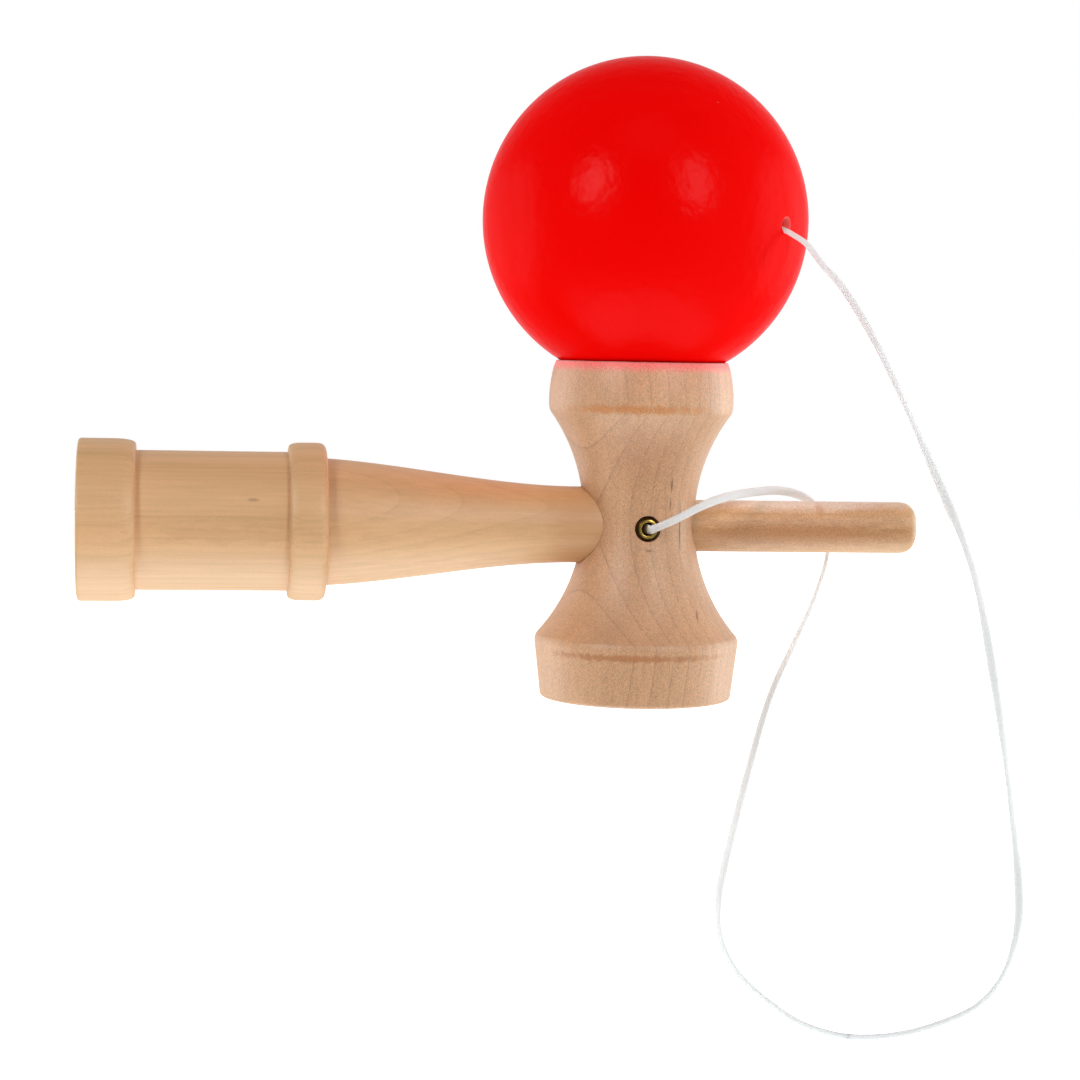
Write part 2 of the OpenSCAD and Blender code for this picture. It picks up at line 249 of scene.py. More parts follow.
def along_cord(thing, rings, far):
    """A UV map on a cord: across is the share of the way round it, along is its length in metres."""
    rows, columns = rings.shape[:2]
    row, k = np.divmod(np.arange((rows - 1) * columns), columns)
    across = np.stack([k, k + 1, k + 1, k], -1) / columns
    length = np.stack([far[row], far[row], far[row + 1], far[row + 1]], -1) * MM
    layer = thing.data.uv_layers.new(name="plait")
    uv = np.zeros((len(layer.data), 2), np.float32)
    uv[: across.size] = np.stack([across.ravel(), length.ravel()], -1)
    layer.data.foreach_set("uv", uv.ravel())


def cut(thing, *cutters):
    """Takes the cutters' volumes out of a piece, drops the cutters and marks the cut edges sharp."""
    for cutter in cutters:
        taken = thing.modifiers.new("cut", "BOOLEAN")
        taken.object, taken.operation, taken.solver = cutter, "DIFFERENCE", "EXACT"
    graph = bpy.context.evaluated_depsgraph_get()
    whole = thing.data
    thing.data = bpy.data.meshes.new_from_object(thing.evaluated_get(graph))
    thing.modifiers.clear()
    thing.data.name = whole.name
    bpy.data.meshes.remove(whole)
    for cutter in cutters:
        bpy.data.objects.remove(cutter)
    thing.data.set_sharp_from_angle(angle=np.radians(DRILLED_EDGE))
    return thing


def drill(name, d, start, end, columns=64):
    """A plain round cutter from one point to another."""
    outline = np.array([[d / 2, 0], [d / 2, np.linalg.norm(end - start)]])
    return piece(name, turned(outline, start, end - start, columns), raw_wood)


# Camera, at the photograph's place: angles in degrees, lens and sensor in millimetres
CAMERA_FROM_CROSSING = np.array([-90.2, -515.5, 36.0])
CAMERA_YAW, CAMERA_PITCH, CAMERA_ROLL = 7.76, -4.31, 1.13
CAMERA_LENS, SENSOR_WIDTH = 86.667, 36


def place_camera():
    """The camera looks along its forward direction, set by yaw and pitch, and rolls about it."""
    yaw, pitch, roll = np.radians([CAMERA_YAW, CAMERA_PITCH, CAMERA_ROLL])
    forward = np.array([np.sin(yaw) * np.cos(pitch), np.cos(yaw) * np.cos(pitch), np.sin(pitch)])
    level = np.array([np.cos(yaw), -np.sin(yaw), 0])
    upright = np.cross(level, forward)
    right = level * np.cos(roll) + upright * np.sin(roll)
    up = upright * np.cos(roll) - level * np.sin(roll)
    data = bpy.data.cameras.new("photo_camera")
    data.sensor_width, data.lens = SENSOR_WIDTH, CAMERA_LENS
    camera = bpy.data.objects.new("photo_camera", data)
    bpy.context.scene.collection.objects.link(camera)
    matrix = np.eye(4)
    matrix[:3, :3] = np.stack([right, up, -forward], 1)
    matrix[:3, 3] = (crossing + CAMERA_FROM_CROSSING) * MM
    camera.matrix_world = Matrix(matrix.tolist())
    bpy.context.scene.camera = camera
    return right, up, forward


camera_right, camera_up, camera_forward = place_camera()


def linear(colour):
    """Linear RGBA of an sRGB hex colour, by the sRGB curve."""
    srgb = np.array([int(colour[i : i + 2], 16) for i in (1, 3, 5)]) / 255
    return (*np.where(srgb <= 0.04045, srgb / 12.92, ((srgb + 0.055) / 1.055) ** 2.4), 1.0)


def add(tree, kind, inputs=None, **settings):
    """Adds a shader node with its settings. Inputs maps a socket to its value or to what feeds it."""
    node = tree.nodes.new("ShaderNode" + kind)
    for name, value in settings.items():
        setattr(node, name, value)
    for socket, value in (inputs or {}).items():
        if isinstance(value, bpy.types.NodeSocket):
            tree.links.new(value, node.inputs[socket])
        else:
            node.inputs[socket].default_value = value
    return node


def new_material(name):
    """An empty node material and its shader."""
    material = bpy.data.materials.new(name)
    material.use_nodes = True
    return material, material.node_tree, material.node_tree.nodes["Principled BSDF"]


# Patterns in wood: width across the grain and length along it in millimetres, and detail. They bend
# the rings slowly, band the tone, streak it with fibres and break up marks; the sanded fibre ends are
# drawn coarser than they are, so that they show in the render
WOOD_PATTERNS = {"sway": (30, 110, 2), "band": (7, 60, 1), "fibre": (0.6, 16, 3),
                 "patch": (1.2, 3.5, 2), "fleck": (0.17, 0.36, 2)}
# How far rings bend and over what width the last one fades, in millimetres
RING_SWAY, RING_FADE = 1.2, 1.5
# Shares of a year's ring over which late wood deepens the tone, and over which its end line is drawn
LATE_WOOD, YEAR_END = (0.2, 0.95), (0.9, 0.98)
# Weights of late wood, fibres and bands in the tone, and the range of their sum from pale to dark
TONE_WEIGHTS, TONE_RANGE = (0.1, 0.6, 0.7), (0.45, 0.95)
# Range of the fleck pattern that is used, and the length over which the speckle changes at the crossing
FLECK_RANGE, SPECKLE_CHANGE = (0.3, 0.7), 15
# Share of a mark's half size within which it has its full strength
MARK_CORE = 0.4
# Strength and height in millimetres of the sanded relief, and roughness
WOOD_BUMP, WOOD_RELIEF, WOOD_ROUGHNESS = 0.2, 0.08, 0.5


def turned_wood(name, pale, dark, line, pith, grain, ring, last_ring, lines, speckle, veil, marks=()):
    """Sanded pale hardwood, unvarnished. Growth rings round a pith outside the piece end in fine
    darker lines, out to the last ring that shows; fibres show as long streaks, cut fibre ends as a
    fine speckle, and their fuzz as a pale veil at glancing angles. Pith, rings and marks are in
    millimetres, and grain is the axis that the fibres run along. Lines is the strength of the ring
    lines, speckle that of the fibre ends before and beyond the crossing, and veil that of the broad
    reflection. Each mark is (centre, half sizes, strength, raggedness, shade): a crack, bruise or
    stain."""
    material, tree, shader = new_material(name)
    along, across = np.array(grain), 1 - np.array(grain)
    where = add(tree, "TexCoord").outputs["Object"]
    mm = add(tree, "VectorMath", {0: where, 3: 1 / MM}, operation="SCALE").outputs[0]
    noise = {}
    for pattern, (wide, long, detail) in WOOD_PATTERNS.items():
        spread = tuple(across / wide + along / long)
        scaled = add(tree, "VectorMath", {0: mm, 1: spread}, operation="MULTIPLY").outputs[0]
        noise[pattern] = add(tree, "TexNoise", {"Vector": scaled, "Scale": 1.0, "Detail": detail}).outputs

    sway = add(tree, "VectorMath", {0: noise["sway"][1], 1: (RING_SWAY,) * 3, 2: (-RING_SWAY / 2,) * 3},
               operation="MULTIPLY_ADD").outputs[0]
    offset = add(tree, "VectorMath", {0: mm, 1: tuple(pith)}, operation="SUBTRACT").outputs[0]
    bent = add(tree, "VectorMath", {0: offset, 1: sway}, operation="ADD").outputs[0]
    flat = add(tree, "VectorMath", {0: bent, 1: tuple(across)}, operation="MULTIPLY").outputs[0]
    radius = add(tree, "VectorMath", {0: flat}, operation="LENGTH").outputs[1]
    years = add(tree, "Math", {0: radius, 1: ring}, operation="DIVIDE").outputs[0]
    season = add(tree, "Math", {0: years}, operation="FRACT").outputs[0]
    late_wood = add(tree, "MapRange", {"Value": season, "From Min": LATE_WOOD[0], "From Max": LATE_WOOD[1]},
                    interpolation_type="SMOOTHSTEP").outputs[0]
    year_end = add(tree, "MapRange", {"Value": season, "From Min": YEAR_END[0], "From Max": YEAR_END[1],
                                      "To Max": lines}, interpolation_type="SMOOTHSTEP").outputs[0]
    shown = add(tree, "MapRange", {"Value": radius, "From Min": last_ring,
                                   "From Max": last_ring + RING_FADE,
                                   "To Min": 1.0, "To Max": 0.0}).outputs[0]

    tone = 0.0
    for pattern, weight in zip((late_wood, noise["fibre"][0], noise["band"][0]), TONE_WEIGHTS):
        tone = add(tree, "Math", {0: pattern, 1: weight, 2: tone}, operation="MULTIPLY_ADD").outputs[0]
    tone = add(tree, "MapRange", {"Value": tone, "From Min": TONE_RANGE[0],
                                  "From Max": TONE_RANGE[1]}).outputs[0]
    colour = add(tree, "Mix", {0: tone, 6: linear(pale), 7: linear(dark)}, data_type="RGBA").outputs[2]
    drawn = add(tree, "Math", {0: year_end, 1: shown}, operation="MULTIPLY").outputs[0]
    drawn = add(tree, "Math", {0: drawn, 1: noise["fibre"][0]}, operation="MULTIPLY").outputs[0]
    colour = add(tree, "Mix", {0: drawn, 6: colour, 7: linear(line)}, data_type="RGBA").outputs[2]

    for centre, half, strength, ragged, shade in marks:
        near = add(tree, "VectorMath", {0: mm, 1: tuple(centre)}, operation="SUBTRACT").outputs[0]
        near = add(tree, "VectorMath", {0: near, 1: tuple(half)}, operation="DIVIDE").outputs[0]
        near = add(tree, "VectorMath", {0: near}, operation="LENGTH").outputs[1]
        torn = add(tree, "Math", {0: noise["patch"][0], 1: ragged, 2: near},
                   operation="MULTIPLY_ADD").outputs[0]
        share = add(tree, "MapRange", {"Value": torn, "From Min": 1 + ragged / 2,
                                       "From Max": MARK_CORE + ragged / 2,
                                       "To Max": strength}).outputs[0]
        colour = add(tree, "Mix", {0: share, 6: colour, 7: linear(shade)}, data_type="RGBA").outputs[2]

    beyond = add(tree, "SeparateXYZ", {0: mm}).outputs[0]
    amount = add(tree, "MapRange", {"Value": beyond, "From Min": crossing[0],
                                    "From Max": crossing[0] + SPECKLE_CHANGE,
                                    "To Min": speckle[0], "To Max": speckle[1]}).outputs[0]
    ends = add(tree, "MapRange", {"Value": noise["fleck"][0], "From Min": FLECK_RANGE[0],
                                  "From Max": FLECK_RANGE[1], "To Min": -1.0, "To Max": 1.0}).outputs[0]
    grit = add(tree, "Math", {0: ends, 1: amount, 2: 1.0}, operation="MULTIPLY_ADD").outputs[0]
    colour = add(tree, "VectorMath", {0: colour, 3: grit}, operation="SCALE").outputs[0]
    tree.links.new(colour, shader.inputs["Base Color"])
    relief = add(tree, "Math", {0: noise["fibre"][0], 1: noise["fleck"][0]}, operation="ADD").outputs[0]
    bump = add(tree, "Bump", {"Height": relief, "Strength": WOOD_BUMP,
                              "Distance": WOOD_RELIEF * MM}).outputs[0]
    tree.links.new(bump, shader.inputs["Normal"])
    shader.inputs["Roughness"].default_value = WOOD_ROUGHNESS
    shader.inputs["Specular IOR Level"].default_value = veil
    return material


def handle_beech():
    """Fine sanded beech with its grain along the handle: honey-coloured and nearly without lines. Its
    marks are a small nick in the grip, flecks along the front, browner wood at the crosspiece, and a
    browner, rougher spike with a painted highlight along its top and a stain near its tip."""
    marks = [(crossing + [-77.6, -12.8, 5.0], (1.4, 4, 0.45), 0.45, 0.6, "#8F5A33"),
             (crossing + [-81, -14, -1.7], (24, 9, 2.2), 0.25, 2.4, "#BF8A58"),
             (crossing + [-12, 0, 0], (9, 60, 60), 0.3, 0.8, "#BC7845"),
             (crossing + [31, -6, -1.2], (38, 9, 4.4), 0.62, 0.6, "#A8601F"),
             # Painted highlight: a pale band along the spike's top, where light glances off it
             (crossing + [31, 0, 5.4], (34, 12, 2.7), 0.85, 0.6, "#F6E4CE"),
             (crossing + [36.4, -4, 3.3], (1.0, 5, 3), 0.4, 0.8, "#C98A50")]
    return turned_wood("sanded_beech", "#E7B37E", "#D3A16C", "#B07A50", pith=(0, 39, -22),
                       grain=(1, 0, 0), ring=1.7, last_ring=60, lines=0.15, speckle=(0.05, 0.24),
                       veil=1.0, marks=marks)


def crosspiece_maple():
    """Coarser sanded maple with its grain up the crosspiece: pinker and speckled, with fine ring
    lines. Its marks are short cracks, a browner neck joint and brown bruised ridges, with painted
    shade in the upper cove, a painted pink reflection of the red ball on the small cup's rim, and a
    painted contact shadow at the rim's very edge."""
    crack = "#6E3410"
    marks = [(crossing + [4.6, -11, 8.8], (0.3, 4, 1.8), 0.75, 0.5, crack),
             (crossing + [4.5, -10.5, 4.8], (0.25, 4, 1.7), 0.6, 0.5, crack),
             (crossing + [6.75, -9.4, 0], (0.2, 5, 5.5), 0.9, 0.3, "#4A2006"),
             (crossing + [0.2, -11.7, -4.3], (1.0, 4, 0.35), 0.6, 0.8, crack),
             (crossing + [9.9, -13, -17], (0.35, 4, 1.6), 0.6, 0.8, crack),
             # Painted shade: the upper cove darkened where it lies in shadow under the small cup's ridge
             (crossing + [-2, -15, 14.5], (13, 8, 9), 0.35, 0.8, "#B06A34"),
             (crossing + [-30, 0, 0], (38, 13, 13), 0.7, 0.3, "#B0601E"),
             (crossing + [-6, -20, 23.6], (26, 14, 1.15), 0.75, 1.4, "#D0823E"),
             (crossing + [-8, -22, -24.8], (30, 16, 0.9), 0.75, 1.4, "#B26A30"),
             # Painted reflection: a pink band of the red ball's light on the small cup's rim and bevel
             (crossing + [0, 0, small_rim_z + 0.3], (90, 90, 2.6), 0.95, 0.3, "#FF7E76"),
             # Painted shadow: a dark line where the ball sits on the rim, in the gap between them
             (crossing + [0, 0, small_rim_z + 0.2], (90, 90, 0.4), 0.85, 0.2, "#7A0600")]
    return turned_wood("sanded_maple", "#DBA579", "#C7946A", "#96654A",
                       pith=crossing + [53.9, 28.7, 0], grain=(0, 0, 1), ring=2.9, last_ring=76,
                       lines=0.6, speckle=(0.27, 0.27), veil=1.0, marks=marks)


def plain_raw_wood():
    """Bare turned wood inside bores, reddened a little by the lacquer's overspray."""
    return turned_wood("bare_bore_wood", "#D9A587", "#BD8062", "#A06A4E", pith=(40, 40, 0),
                       grain=(0, 0, 1), ring=2.5, last_ring=90, lines=0.4, speckle=(0.12, 0.12), veil=0.3)


def thin_lacquer_painted_lit_coat():
    """Red lacquer gone thin in the string's hole, so that the pale wood makes it pink, and painted
    lighter still as painted light on the hole's shaded wall.
    """
    # Painted light: a lighter pink than the ball's lacquer, so that the shaded hole looks lit
    return turned_wood("thin_lacquer_painted_lit", "#FF6A62", "#FF5C54", "#F04C44", pith=(40, 40, 0),
                       grain=(0, 0, 1), ring=2.5, last_ring=0, lines=0.1, speckle=(0.05, 0.05), veil=0.3)


# Lacquer: width of its faint clouds, distance and size of dust specks painted pale as glints of
# light, and the dent's place and half sizes, in millimetres, with the strength of a speck and the
# dent's strength and core
CLOUD_WIDTH, SPECK_APART, SPECK_SIZE, SPECK_STRENGTH = 14, 7, 0.2, 0.6
DENT_PLACE, DENT_HALF = crossing + [18.7, -25.3, 53.6], np.array([0.45, 3, 3.6])
DENT_STRENGTH, DENT_CORE = 0.35, 0.3
# Ripple of the film, in millimetres, and its shine, which falls as the surface turns away
RIPPLE_WIDTH, RIPPLE_HEIGHT, LACQUER_ROUGHNESS = 1.9, 0.14, 0.25
SHINE_RANGE, SHINE_FACING = (0.045, 0.007), (0.1, 0.5)


def red_lacquer_coat():
    """Sprayed red lacquer on turned wood: deep even red with a soft sheen, a few dust specks painted
    pale as glints of light, the shade of one long dent beside the string's hole, and an orange-peel
    ripple in the film that mottles the highlights."""
    material, tree, shader = new_material("red_lacquer")
    where = add(tree, "TexCoord").outputs["Object"]
    cloud = add(tree, "TexNoise", {"Vector": where, "Scale": 1 / (CLOUD_WIDTH * MM),
                                   "Detail": 2.0}).outputs[0]
    colour = add(tree, "Mix", {0: cloud, 6: linear("#F80200"), 7: linear("#FC0402")},
                 data_type="RGBA").outputs[2]
    # Dust specks painted pale, as glints of light off the dust
    dust_glints = add(tree, "TexVoronoi", {"Vector": where, "Scale": 1 / (SPECK_APART * MM)}).outputs["Distance"]
    dust_glints = add(tree, "MapRange", {"Value": dust_glints, "From Min": SPECK_SIZE / SPECK_APART,
                                  "From Max": SPECK_SIZE / SPECK_APART / 2,
                                  "To Max": SPECK_STRENGTH}).outputs[0]
    colour = add(tree, "Mix", {0: dust_glints, 6: colour, 7: linear("#FF8A80")}, data_type="RGBA").outputs[2]
    dent = add(tree, "VectorMath", {0: where, 1: tuple(DENT_PLACE * MM)}, operation="SUBTRACT").outputs[0]
    dent = add(tree, "VectorMath", {0: dent, 1: tuple(DENT_HALF * MM)}, operation="DIVIDE").outputs[0]
    dent = add(tree, "VectorMath", {0: dent}, operation="LENGTH").outputs[1]
    dent = add(tree, "MapRange", {"Value": dent, "From Min": 1.0, "From Max": DENT_CORE,
                                  "To Max": DENT_STRENGTH}).outputs[0]
    colour = add(tree, "Mix", {0: dent, 6: colour, 7: linear("#D60000")}, data_type="RGBA").outputs[2]
    tree.links.new(colour, shader.inputs["Base Color"])
    ripple = add(tree, "TexNoise", {"Vector": where, "Scale": 1 / (RIPPLE_WIDTH * MM),
                                    "Detail": 1.5}).outputs[0]
    bump = add(tree, "Bump", {"Height": ripple, "Strength": 1.0,
                              "Distance": RIPPLE_HEIGHT * MM}).outputs[0]
    tree.links.new(bump, shader.inputs["Normal"])
    facing = add(tree, "LayerWeight").outputs["Facing"]
    shine = add(tree, "MapRange", {"Value": facing, "From Min": SHINE_FACING[0],
                                   "From Max": SHINE_FACING[1], "To Min": SHINE_RANGE[0],
                                   "To Max": SHINE_RANGE[1]}).outputs[0]
    tree.links.new(shine, shader.inputs["Specular IOR Level"])
    shader.inputs["Roughness"].default_value = LACQUER_ROUGHNESS
    return material


# Brass: tarnish patches in a millimetre and how far they shift its edge, and the radii in millimetres
# between which rubbed brass turns to tarnished, with the roughness of both
PATCHES_PER_MM, PATCH_SHIFT, RUBBED_EDGE, BRASS_ROUGHNESS = 2.2, 0.3, (1.85, 2.1), (0.25, 0.5)


def worn_brass():
    """Tarnished brass: brown-black where it is never rubbed, bright gold on the lip that the string
    polishes."""
    material, tree, shader = new_material("tarnished_brass")
    where = add(tree, "TexCoord").outputs["Object"]
    mm = add(tree, "VectorMath", {0: where, 3: 1 / MM}, operation="SCALE").outputs[0]
    offset = add(tree, "VectorMath", {0: mm, 1: tuple(crossing)}, operation="SUBTRACT").outputs[0]
    flat = add(tree, "VectorMath", {0: offset, 1: (1, 0, 1)}, operation="MULTIPLY").outputs[0]
    radius = add(tree, "VectorMath", {0: flat}, operation="LENGTH").outputs[1]
    patch = add(tree, "TexNoise", {"Vector": mm, "Scale": PATCHES_PER_MM, "Detail": 3.0}).outputs[0]
    uneven = add(tree, "Math", {0: patch, 1: PATCH_SHIFT, 2: radius}, operation="MULTIPLY_ADD").outputs[0]
    tarnish = add(tree, "MapRange", {"Value": uneven, "From Min": RUBBED_EDGE[0],
                                     "From Max": RUBBED_EDGE[1]},
                  interpolation_type="SMOOTHSTEP").outputs[0]
    colour = add(tree, "Mix", {0: tarnish, 6: linear("#D6B25A"), 7: linear("#3A2511")}, data_type="RGBA")
    tree.links.new(colour.outputs[2], shader.inputs["Base Color"])
    rough = add(tree, "MapRange", {"Value": tarnish, "To Min": BRASS_ROUGHNESS[0],
                                   "To Max": BRASS_ROUGHNESS[1]}).outputs[0]
    tree.links.new(rough, shader.inputs["Roughness"])
    shader.inputs["Metallic"].default_value = 1.0
    return material


# Cord: share of a plait's row that lies in the line beside it, how far light spreads in the threads in
# millimetres, and their roughness and shine
GROOVE_SHARE, CORD_GLOW, CORD_ROUGHNESS, CORD_SHINE = 0.16, 2.0, 0.6, 0.25


def white_cord():
    """White plaited polyester: soft threads that let light through, with faint shadow lines between the
    rows of the plait."""
    material, tree, shader = new_material("white_plaited_cord")
    uv = add(tree, "UVMap", uv_map="plait").outputs[0]
    parts = add(tree, "SeparateXYZ", {0: uv})
    # The fold runs from none at the cord's edges to a quarter of the way round at its flat sides
    quarter = 1 / 4
    fold = add(tree, "Math", {0: parts.outputs[0], 1: quarter}, operation="PINGPONG").outputs[0]
    lean = add(tree, "Math", {0: fold, 1: PLAIT_LEAN / quarter}, operation="MULTIPLY").outputs[0]
    rows = add(tree, "Math", {0: parts.outputs[1], 1: 1 / (PLAIT_PITCH * MM), 2: lean},
               operation="MULTIPLY_ADD").outputs[0]
    thread = add(tree, "Math", {0: rows, 1: 0.5}, operation="PINGPONG").outputs[0]
    groove = add(tree, "MapRange", {"Value": thread, "From Min": 0.0, "From Max": GROOVE_SHARE}).outputs[0]
    colour = add(tree, "Mix", {0: groove, 6: linear("#D5D3D1"), 7: linear("#DAD8D6")}, data_type="RGBA")
    tree.links.new(colour.outputs[2], shader.inputs["Base Color"])
    shader.inputs["Roughness"].default_value = CORD_ROUGHNESS
    shader.inputs["Specular IOR Level"].default_value = CORD_SHINE
    shader.inputs["Subsurface Weight"].default_value = 1.0
    shader.inputs["Subsurface Radius"].default_value = (1, 1, 1)
    shader.inputs["Subsurface Scale"].default_value = CORD_GLOW * MM
    return material


beech, maple, raw_wood = handle_beech(), crosspiece_maple(), plain_raw_wood()
lacquer, thin_lacquer_painted_lit = red_lacquer_coat(), thin_lacquer_painted_lit_coat()
brass, cord = worn_brass(), white_cord()

# The string's route out of the eyelet, over the spike and down behind it, round the low loop and up to
# the ball, in millimetres from where the two axes cross
EYELET_OUT = [0.35, -11.6, -0.05]
STRING_ROUTE = [
    [0.9, -13.2, 0.3], [2.1, -15.0, 1.0], [4.8, -16.6, 2.5], [9.6, -15.3, 4.8], [14.7, -11.5, 6.3],
    [21.5, -5.2, 7.1], [29, 1.5, 7.2], [35.2, 5.6, 5.7], [39.2, 7.1, 2.2], [41, 7.4, -3],
    [40.5, 7.2, -8.8], [37.6, 7, -17.4], [33.9, 7, -25.8], [29.5, 7, -36.3], [25.4, 7, -51.6],
    [20.6, 6.5, -72.4], [19.6, 6, -80.4], [20.6, 5.5, -87.2], [24, 4.9, -93.4], [30, 4.2, -98.9],
    [37.6, 3.3, -103.8], [47, 2.3, -106.3], [57.4, 1, -105.7], [67, -0.1, -102.8], [74, -0.9, -99],
    [78.6, -2, -92.6], [80.8, -3.2, -83.4], [80.4, -4.4, -73], [76.8, -7.4, -53], [70.8, -12.4, -27.6],
    [64.4, -16.8, -6.2], [54, -21.2, 14.5], [42.5, -24.6, 35.7], [35, -25.8, 47], [30.2, -25.9, 52.2],
    [27.2, -25.2, 56], [24.6, -22.9, 58.1]]
# Number of the route's lowest point, where the string's two lengths meet
LOW_POINT = 21
# The string's places along the hole in the handle, and in the ball's hole: distances from the ball's
# centre, with the share of its sag there
IN_HANDLE_Y = (-4, -8.5)
INTO_BALL = np.array([[32.2, 1.0], [30, 0.3], [27.6, 0], [25.6, 0]])
HANG_IN_HOLE = np.array([0, 0, -1.0])
STRING_STEP = 0.3
# Turn of the string's flat side, in degrees, at distances in millimetres from the knot
STRING_TURN = np.array([
    [0, 60], [16, 55], [30, 40], [60, 40], [70, 80], [78, 90], [90, 75], [100, 60], [147, 45],
    [154, 75], [165, 68], [185, 65], [205, 60], [231, 58], [243, 15], [249, 0], [258, 42], [275, 50],
    [292, 20], [298, 0], [312, 40], [325, 35], [333, 5], [345, 35], [352, 58], [365, 45], [375, 30],
    [387, 45], [395, 50], [420, 60]])


def string_line():
    """The string's centre line, in even steps, with its distance from the knot and the row of its
    low point, where its two halves meet."""
    in_handle = [[0, y, 0] for y in (handle_knot_face, *IN_HANDLE_Y)]
    into_ball = ball_centre - crossing + INTO_BALL[:, :1] * hole_dir + INTO_BALL[:, 1:] * HANG_IN_HOLE
    points = np.array([*in_handle, EYELET_OUT, *STRING_ROUTE, *into_ball])
    line, far = evenly(smooth_curve(points + crossing, 24), STRING_STEP)
    low = np.argmin(np.linalg.norm(line - crossing - STRING_ROUTE[LOW_POINT], axis=1))
    return line, far, low


def make_string():
    """The free string in two lengths that meet at its low point."""
    line, far, low = string_line()
    turn = np.interp(far, STRING_TURN[:, 0], STRING_TURN[:, 1])
    rings = plaited(line, far, STRING_WIDTH, STRING_THICK, turn)
    first = piece("string_from_eyelet", rings[: low + 1], cord, sharp=CORD_END_EDGE)
    second = piece("string_to_ball", rings[low:], cord, sharp=CORD_END_EDGE)
    along_cord(first, rings[: low + 1], far[: low + 1])
    along_cord(second, rings[low:], far[low:])
    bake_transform(first)
    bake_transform(second)
    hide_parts("string", "string_in_handle")


# Width and thickness of the cord that is pulled tight in a knot and in the bead, the height of a knot's
# lobes as a multiple of their size, and a direction that neither knot's axis follows
KNOT_CORD, BEAD_CORD = (1.4, 1.3), (1.5, 1.3)
KNOT_HEIGHT, KNOT_LEVEL = 1.3, [0.3, 0.2, 0.9]


def make_knot(name, centre, axis, d, body, node):
    """A pulled-tight overhand knot: a cord along the three-lobed closed knot curve, with radius
    2 + cos 3t round the axis while the curve winds twice, flattened along the axis."""
    axis = unit(axis)
    u = unit(np.cross(axis, KNOT_LEVEL))
    v = np.cross(axis, u)
    t = np.linspace(0, 2 * np.pi, 120, endpoint=False)
    lobe = (d / 2 - KNOT_CORD[0] / 2) / 3
    line = centre + lobe * (((2 + np.cos(3 * t)) * np.cos(2 * t))[:, None] * u
                            + ((2 + np.cos(3 * t)) * np.sin(2 * t))[:, None] * v
                            + (KNOT_HEIGHT * np.sin(3 * t))[:, None] * axis)
    far = np.concatenate([[0], np.cumsum(np.linalg.norm(np.diff(line, axis=0), axis=1))])
    rings = plaited(line, far, *KNOT_CORD, 0, columns=14, loop=True)
    knot = piece(name, rings, cord, loop=True)
    along_cord(knot, np.concatenate([rings, rings[:1]]), np.append(far, far[-1] + far[1]))
    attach(knot, body)
    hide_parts(node)


# Softening of the bead's hole, and how far from the ball's centre the string through it ends
BEAD_EDGE, BEAD_CORD_END = 0.3, 25.8


def make_bead():
    """The wooden bead on the string inside the ball, a sphere with a softened hole, and the stretch
    of string from its knot through it to the free string's end."""
    r, hole = BEAD_D / 2, BEAD_BORE / 2
    reach = np.sqrt(r**2 - (hole + BEAD_EDGE) ** 2)
    lean = np.arctan2(hole + BEAD_EDGE, reach)
    turn = np.linspace(np.pi - lean, lean, 48)
    outside = np.stack([r * np.sin(turn), r * np.cos(turn)], 1)
    inside = np.linspace([hole, reach - BEAD_EDGE], [hole, BEAD_EDGE - reach], 16)
    outline = np.concatenate([outside, inside])
    rings = turned(outline, ball_centre + BEAD_PLACE * hole_dir, hole_dir, 64)
    bead = piece("bead", rings, raw_wood, loop=True)
    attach(bead, "bead")
    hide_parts("bead")
    ends = np.array([[BEAD_KNOT_PLACE + KNOT_FLAT * BEAD_KNOT_D], [BEAD_CORD_END]])
    line, far = evenly(ball_centre + ends * hole_dir, STRING_STEP)
    rings = plaited(line, far, *BEAD_CORD, 0)
    stretch = piece("string_in_ball", rings, cord)
    along_cord(stretch, rings, far)
    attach(stretch, "bead")
    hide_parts("string_in_ball")


# Ball: width, depth and fullness of the bore's rounded mouth
MOUTH_WIDTH, MOUTH_DEPTH, MOUTH_FULLNESS = 1.1, 3, 0.2
# Softening of the string hole's edge, inset and depth of its countersink, and the throat behind it,
# with the depths where it starts and where it is even
HOLE_SOFT, SINK_INSET, SINK_DEPTH = 0.15, 0.2, 0.25
THROAT_D, THROAT_START, THROAT_EVEN = 2, 0.9, 3
# Softening of the throat's, pocket's and bore's inner edges
INNER_EDGE, POCKET_SOFT, BORE_SOFT = 0.3, 0.6, 0.8
# How far thin lacquer, painted lighter as light on the hole's wall, reaches beyond the hole's
# radius, and how far short of the pocket it stops
THIN_WIDTH, THIN_END = 0.1, 1
BALL_COLUMNS = 192


